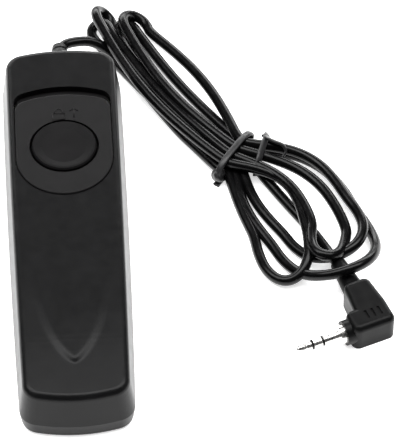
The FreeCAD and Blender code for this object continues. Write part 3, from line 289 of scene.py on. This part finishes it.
MATERIALS = {
    "case_plastic": surface("satin_black_abs", (0.0035, 0.0035, 0.0037), (0.30, 0.35), specular=0.15,
                            grain=(0.16, 0.002)),
    "slider_plastic": surface("matt_black_abs", (0.0050, 0.0048, 0.0050), (0.42, 0.50), specular=0.12,
                              grain=(0.14, 0.007)),
    "button_plastic": surface("button_black_abs", (0.0045, 0.0043, 0.0045), (0.40, 0.46), specular=0.07,
                              grain=(0.14, 0.006)),
    "inner_plastic": surface("natural_nylon", (0.62, 0.60, 0.54), (0.42, 0.52), grain=(0.2, 0.01)),
    "screw_steel": surface("zinc_plated_steel", (0.56, 0.57, 0.58), (0.22, 0.34), metal=1.0,
                           grain=(0.1, 0.004)),
    "spring_steel": surface("spring_steel", (0.50, 0.50, 0.51), (0.18, 0.30), metal=1.0,
                            grain=(0.08, 0.003)),
    "contact_brass": surface("contact_brass", (0.74, 0.53, 0.22), (0.22, 0.34), metal=1.0,
                             grain=(0.1, 0.004), stretch=(1, 0.1, 1)),
    "solder": surface("solder", (0.62, 0.62, 0.63), (0.25, 0.40), metal=1.0, grain=(0.3, 0.03)),
    "wire_red": surface("red_wire", (0.45, 0.02, 0.015), (0.32, 0.40), grain=(0.2, 0.008)),
    "wire_white": surface("white_wire", (0.70, 0.69, 0.66), (0.32, 0.40), grain=(0.2, 0.008)),
    "wire_yellow": surface("yellow_wire", (0.65, 0.42, 0.03), (0.32, 0.40), grain=(0.2, 0.008)),
    "cord_pvc": surface("glossy_black_pvc", (0.0015, 0.0015, 0.0016), (0.20, 0.28), specular=0.22,
                        grain=(0.5, 0.010)),
    "relief_rubber": surface("black_rubber", (0.005, 0.005, 0.005), (0.46, 0.56), grain=(0.12, 0.012)),
    "tie_plastic": surface("grey_black_tie", (0.010, 0.010, 0.0105), (0.34, 0.44), grain=(0.4, 0.015)),
    "plug_plastic": surface("plug_black_pvc", (0.0025, 0.0025, 0.0026), (0.34, 0.42), specular=0.13,
                            grain=(0.16, 0.005)),
    "plug_metal": surface("bright_nickel", (0.80, 0.79, 0.77), (0.24, 0.32), metal=1.0,
                          grain=(0.05, 0.0015), stretch=(1, 1, 0.1), mottle=(2.0, 0.04)),
    "plug_insulator": surface("black_insulator", (0.005, 0.005, 0.005), (0.5, 0.6), specular=0.2,
                              grain=(0.1, 0.004)),
}


def paint(thing, slot):
    thing.data.materials.clear()
    thing.data.materials.append(MATERIALS[slot])


for node, thing in frame["nodes"].items():
    paint(thing, SLOTS[node])


# ---------------------------------------------------------------- shaping helpers

def new_piece(name, mesh, slot, body):
    thing = bpy.data.objects.new(name, mesh)
    bpy.context.scene.collection.objects.link(thing)
    thing.data.materials.append(MATERIALS[slot])
    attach(thing, body)
    return thing


def smooth_line(points, steps):
    """A soft line through the middles of the runs between the points, ends included."""
    line = [Vector(points[0])]
    ends = [Vector(points[0]) * 2 - Vector(points[1]), Vector(points[-1]) * 2 - Vector(points[-2])]
    hull = [ends[0]] + [Vector(point) for point in points] + [ends[1]]
    for first, second, third in zip(hull, hull[1:], hull[2:]):
        for step in range(1, steps + 1):
            share = step / steps
            line.append(first * (0.5 * (1 - share) ** 2) + second * (0.5 + share * (1 - share))
                        + third * (0.5 * share ** 2))
    return line


def rounded_section(width, height, corner_points=5):
    """Outline of a flat strip with rounded edges: (across, up) pairs."""
    radius = height / 2
    outline = []
    for sign, start in ((1, -90), (-1, 90)):
        for number in range(corner_points):
            angle = math.radians(start + 180 * number / (corner_points - 1))
            across = sign * (width / 2 - radius) + radius * math.cos(angle)
            outline.append((across, radius * math.sin(angle)))
    return outline


def sweep(name, line, section, first_side):
    """A closed strip along a line, its section carried without twisting. Millimetres in."""
    mesh = bmesh.new()
    side = Vector(first_side)
    rings = []
    for number, point in enumerate(line):
        before = line[max(0, number - 1)]
        after = line[min(len(line) - 1, number + 1)]
        tangent = (after - before).normalized()
        side = (side - tangent * side.dot(tangent)).normalized()
        up = tangent.cross(side)
        ring = [point + side * across + up * rise for across, rise in section]
        rings.append([mesh.verts.new(place * MM) for place in ring])
    count = len(section)
    for first, second in zip(rings, rings[1:]):
        for number in range(count):
            other = (number + 1) % count
            mesh.faces.new((first[number], first[other], second[other], second[number]))
    mesh.faces.new(rings[0][::-1])
    mesh.faces.new(rings[-1])
    bmesh.ops.recalc_face_normals(mesh, faces=mesh.faces)
    for face in mesh.faces:
        face.smooth = len(face.verts) == 4
    data = bpy.data.meshes.new(name)
    mesh.to_mesh(data)
    mesh.free()
    return data


# ---------------------------------------------------------------- the twist tie

TIE_STRIP = (1.8, 0.8)
TIE_OVER = 6.6
TIE_UNDER = 0.5
KNOT_PLACE = (38.2, 21.0, 2.9)
KNOT_RADIUS = 1.7
KNOT_RINGS = 16
TIE_STEPS = 6

# The knot's lumps: how many round it, their depth as a share of its radius, and how far they turn
# for each mm of height, in radians.
KNOT_LUMPS = 3
KNOT_LUMP_DEPTH = 0.10
KNOT_LUMP_TWIST = 1.6

# From the knot: under the bundle, the wrap on the handset's side, under again, the wrap on the
# plug's side, and the curled tail.
TIE_LINE = [
    (38.6, 21.2, TIE_UNDER), (41.6, 25.2, TIE_UNDER), (45.2, 30.2, TIE_UNDER),
    (47.2, 33.2, 1.6), (47.6, 33.8, 3.8), (46.6, 32.2, 5.8),
    (44.8, 29.6, TIE_OVER), (42.6, 26.6, TIE_OVER), (40.4, 23.6, TIE_OVER),
    (38.6, 21.2, 5.4), (37.8, 20.0, 2.8),
    (38.8, 21.2, TIE_UNDER), (43.6, 25.6, TIE_UNDER), (49.0, 30.4, TIE_UNDER),
    (51.2, 33.0, 1.4), (51.6, 33.2, 3.6), (51.2, 31.4, 5.6),
    (50.6, 28.8, TIE_OVER), (49.6, 25.8, TIE_OVER), (48.8, 23.4, TIE_OVER),
    (48.0, 21.4, 5.4), (47.8, 20.8, 3.6),
]
TIE_TAIL = [
    (50.8, 30.2, 6.2), (51.6, 28.6, 7.0), (53.2, 27.4, 7.2), (55.0, 26.8, 6.8), (55.8, 25.6, 5.6),
    (54.8, 24.6, 4.8),
]


def make_tie():
    """The flat strip round the bundle, and its free end, which curls up beside the second wrap."""
    along = (*HANK_AXIS, 0)
    section = rounded_section(*TIE_STRIP)
    for name, route in (("tie_strip", TIE_LINE), ("tie_tail", TIE_TAIL)):
        strip = sweep(name, smooth_line(route, TIE_STEPS), section, along)
        tie = new_piece(name, strip, "tie_plastic", "case")
        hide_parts("twist_tie")


def make_knot():
    """The twisted ends of the tie, pressed into a small lumpy ball beside the bundle."""
    mesh = bmesh.new()
    bmesh.ops.create_uvsphere(mesh, u_segments=2 * KNOT_RINGS, v_segments=KNOT_RINGS,
                              radius=KNOT_RADIUS * MM)
    for vert in mesh.verts:
        around = math.atan2(vert.co.y, vert.co.x)
        twist = vert.co.z / MM * KNOT_LUMP_TWIST
        lumps = 1 + KNOT_LUMP_DEPTH * math.sin(KNOT_LUMPS * around + twist)
        vert.co = vert.co * lumps + metres(*KNOT_PLACE)
    for face in mesh.faces:
        face.smooth = True
    data = bpy.data.meshes.new("tie_knot")
    mesh.to_mesh(data)
    mesh.free()
    new_piece("tie_knot", data, "tie_plastic", "case")


make_tie()
make_knot()


# ---------------------------------------------------------------- the handset's soft V-shaped tongue

# Sizes in mm. The patch is the part of the top shell's outer skin that is made again with the tongue.
TONGUE_TOP = -14.0
TONGUE_TIP = -45.0
TONGUE_HALF_WIDTH = 10.4
TONGUE_HEIGHT = 0.55
TONGUE_EDGE = 2.4
TONGUE_FULLNESS = 0.6
PATCH_HALF_WIDTH = 11.4
PATCH_Y = (-46.5, -8.0)
PATCH_STEP = 0.35
PATCH_LOWEST = 12.0
WALL_MARGIN = 0.1
SAME_PLACE = 0.01

# The least upward part of the outer skin's normal, and the cuts' tolerance in metres.
FACES_UP = 0.5
CUT_TOLERANCE = 1e-7


def eased(share):
    """0 to 1, flat at both ends."""
    share = min(1.0, max(0.0, share))
    return share * share * (3 - 2 * share)


def tongue_rise(x, y):
    """How far the tongue stands above the handset's plain slope, in mm."""
    along = (TONGUE_TOP - y) / (TONGUE_TOP - TONGUE_TIP)
    if not 0 < along < 1:
        return 0.0
    half_width = TONGUE_HALF_WIDTH * (1 - along ** 2) ** TONGUE_FULLNESS
    return TONGUE_HEIGHT * eased(along) * eased((half_width - abs(x)) / TONGUE_EDGE)


def height_on(side, y):
    """The plain slope's height at y, on the straight runs between the side's places."""
    for (y_low, z_low), (y_high, z_high) in zip(side, side[1:]):
        if y <= y_high:
            break
    return z_low + (z_high - z_low) * (y - y_low) / (y_high - y_low)


def cut_patch(mesh):
    """Takes the outer skin out of the patch, and returns the places (y, z) along its side, in mm."""
    cuts = [((x, 0, 0), (1, 0, 0)) for x in (-PATCH_HALF_WIDTH, PATCH_HALF_WIDTH)]
    cuts += [((0, y, 0), (0, 1, 0)) for y in PATCH_Y]
    for place, normal in cuts:
        bmesh.ops.bisect_plane(mesh, geom=mesh.verts[:] + mesh.edges[:] + mesh.faces[:],
                               dist=CUT_TOLERANCE, plane_co=metres(*place), plane_no=normal)
    mesh.normal_update()
    skin = []
    walls = []
    for face in mesh.faces:
        middle = face.calc_center_median() / MM
        inside = abs(middle.x) < PATCH_HALF_WIDTH and PATCH_Y[0] < middle.y < PATCH_Y[1]
        if inside and middle.z > PATCH_LOWEST:
            (skin if face.normal.z > FACES_UP else walls).append(face)
    side = {}
    for vert in {vert for face in skin for vert in face.verts}:
        place = vert.co / MM
        if abs(place.x - PATCH_HALF_WIDTH) < SAME_PLACE:
            side[round(place.y, 3)] = place.z
    side = sorted(side.items())
    for face in walls:
        middle = face.calc_center_median() / MM
        if middle.z > height_on(side, middle.y) - WALL_MARGIN:
            skin.append(face)
    bmesh.ops.delete(mesh, geom=skin, context="FACES")
    return side


def make_tongue():
    """The CAD top shell with the soft V-shaped tongue that runs from the head into its slope."""
    source = frame["nodes"]["top_shell"]
    mesh = bmesh.new()
    mesh.from_mesh(source.data)
    mesh.transform(source.matrix_world)
    side = cut_patch(mesh)
    columns = round(2 * PATCH_HALF_WIDTH / PATCH_STEP)
    rows = round((PATCH_Y[1] - PATCH_Y[0]) / PATCH_STEP)
    grid = []
    for row in range(rows + 1):
        y = PATCH_Y[0] + (PATCH_Y[1] - PATCH_Y[0]) * row / rows
        line = []
        for column in range(columns + 1):
            x = PATCH_HALF_WIDTH * (2 * column / columns - 1)
            line.append(mesh.verts.new(metres(x, y, height_on(side, y) + tongue_rise(x, y))))
        grid.append(line)
    for below, above in zip(grid, grid[1:]):
        for number in range(columns):
            face = mesh.faces.new((below[number], below[number + 1], above[number + 1], above[number]))
            face.smooth = True
    data = bpy.data.meshes.new("top_shell_skin")
    mesh.to_mesh(data)
    mesh.free()
    shell = new_piece("top_shell_skin", data, SLOTS["top_shell"], "case")
    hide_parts("top_shell")


make_tongue()


# ---------------------------------------------------------------- the spring under the button


def make_spring():
    """The CAD spring as a piece of its own, carried with the slider."""
    source = frame["nodes"]["button_spring"]
    mesh = source.data.copy()
    mesh.transform(source.matrix_world)
    mesh.materials.clear()
    spring = new_piece("button_coil", mesh, SLOTS["button_spring"], "slider")
    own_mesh(spring)
    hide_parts("button_spring")


make_spring()


# ---------------------------------------------------------------- the mark on the slider

MARK_CENTRE = (0.6, 32.0)
MARK_HEIGHT = 16.84
MARK_LINE = (0.3, 0.12)
MARK_SIDE = (0.6, 0.8, 0)
LOCK_SHIFT = -1.6
LOCK_HALF = 1.5
LOCK_DEPTH = 2
SHACKLE_REACH = 1.6
SHACKLE_STEPS = 8
ARROW_SHIFT = 2.2
ARROW_REACH = 1.6
ARROW_HEAD = 1.0


def make_mark():
    """A plain raised outline of a padlock with an arrow beside it, thin as a moulded mark."""
    x, y = MARK_CENTRE
    lock = x + LOCK_SHIFT
    arrow = x + ARROW_SHIFT
    barb = y + ARROW_REACH - ARROW_HEAD
    body = [(lock - LOCK_HALF, y), (lock + LOCK_HALF, y), (lock + LOCK_HALF, y - LOCK_DEPTH),
            (lock - LOCK_HALF, y - LOCK_DEPTH), (lock - LOCK_HALF, y)]
    angles = [math.pi * step / SHACKLE_STEPS for step in range(SHACKLE_STEPS + 1)]
    shackle = [(lock + math.cos(angle), y + math.sin(angle) * SHACKLE_REACH) for angle in angles]
    shaft = [(arrow, y - ARROW_REACH), (arrow, y + ARROW_REACH)]
    head = [(arrow - ARROW_HEAD, barb), (arrow, y + ARROW_REACH), (arrow + ARROW_HEAD, barb)]
    section = rounded_section(*MARK_LINE)
    for part, flat in (("body", body), ("shackle", shackle), ("shaft", shaft), ("head", head)):
        name = "mark_" + part
        line = [Vector((*place, MARK_HEIGHT)) for place in flat]
        new_piece(name, sweep(name, line, section, MARK_SIDE), "slider_plastic", "slider")


make_mark()


# ---------------------------------------------------------------- the cord, attached to the case

cord.data.materials.append(MATERIALS["cord_pvc"])
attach(cord, "case")
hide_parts("cord_exit_run", "cord_hank")


# ---------------------------------------------------------------- floor and light

FLOOR_HALF = 3.0
FLOOR_WHITE = 0.92
FLOOR_ROUGHNESS = 0.8
FLOOR_GLOW = 0.6
WORLD_GLOW = 0.04
LIGHT_TARGET = Vector((0, 0, 0))

# Each soft panel's place and size in metres, its power, and whether it shows as a highlight.
PANELS = [
    ("floor_wash", dict(place=(0.0, 0.0, 1.4), size=(1.5, 1.5), power=26.0, mirrored=False)),
    ("softbox", dict(place=(0.0, 0.16, 1.05), size=(2.0, 0.5), power=19.0, mirrored=True)),
    ("back_panel", dict(place=(0.0, 1.10, 0.46), size=(1.8, 0.32), power=14.0, mirrored=True)),
]


def make_floor():
    corners = [(x * FLOOR_HALF, y * FLOOR_HALF, 0) for x, y in ((-1, -1), (1, -1), (1, 1), (-1, 1))]
    mesh = bpy.data.meshes.new("floor")
    mesh.from_pydata(corners, [], [(0, 1, 2, 3)])
    floor = bpy.data.objects.new("floor", mesh)
    bpy.context.scene.collection.objects.link(floor)
    material, _, _, shader = new_material("floor_paint")
    shader.inputs["Base Color"].default_value = (FLOOR_WHITE, FLOOR_WHITE, FLOOR_WHITE, 1)
    shader.inputs["Roughness"].default_value = FLOOR_ROUGHNESS
    shader.inputs["Specular IOR Level"].default_value = 0.0
    shader.inputs["Emission Color"].default_value = (1, 1, 1, 1)
    shader.inputs["Emission Strength"].default_value = FLOOR_GLOW
    mesh.materials.append(material)


def area_light(name, place, size, power, mirrored):
    """A soft panel aimed at the target; one that isn't mirrored leaves no highlight."""
    data = bpy.data.lights.new(name, "AREA")
    data.shape = "RECTANGLE"
    data.size, data.size_y = size
    data.energy = power
    light = bpy.data.objects.new(name, data)
    light.location = place
    light.rotation_euler = (LIGHT_TARGET - Vector(place)).to_track_quat("-Z", "Y").to_euler()
    light.visible_glossy = mirrored
    bpy.context.scene.collection.objects.link(light)


def make_light():
    world = bpy.data.worlds.new("studio")
    world.use_nodes = True
    background = world.node_tree.nodes["Background"]
    background.inputs["Color"].default_value = (1, 1, 1, 1)
    background.inputs["Strength"].default_value = WORLD_GLOW
    bpy.context.scene.world = world
    for name, panel in PANELS:
        area_light(name, **panel)
    bpy.context.scene.view_settings.view_transform = "Standard"


make_floor()
make_light()
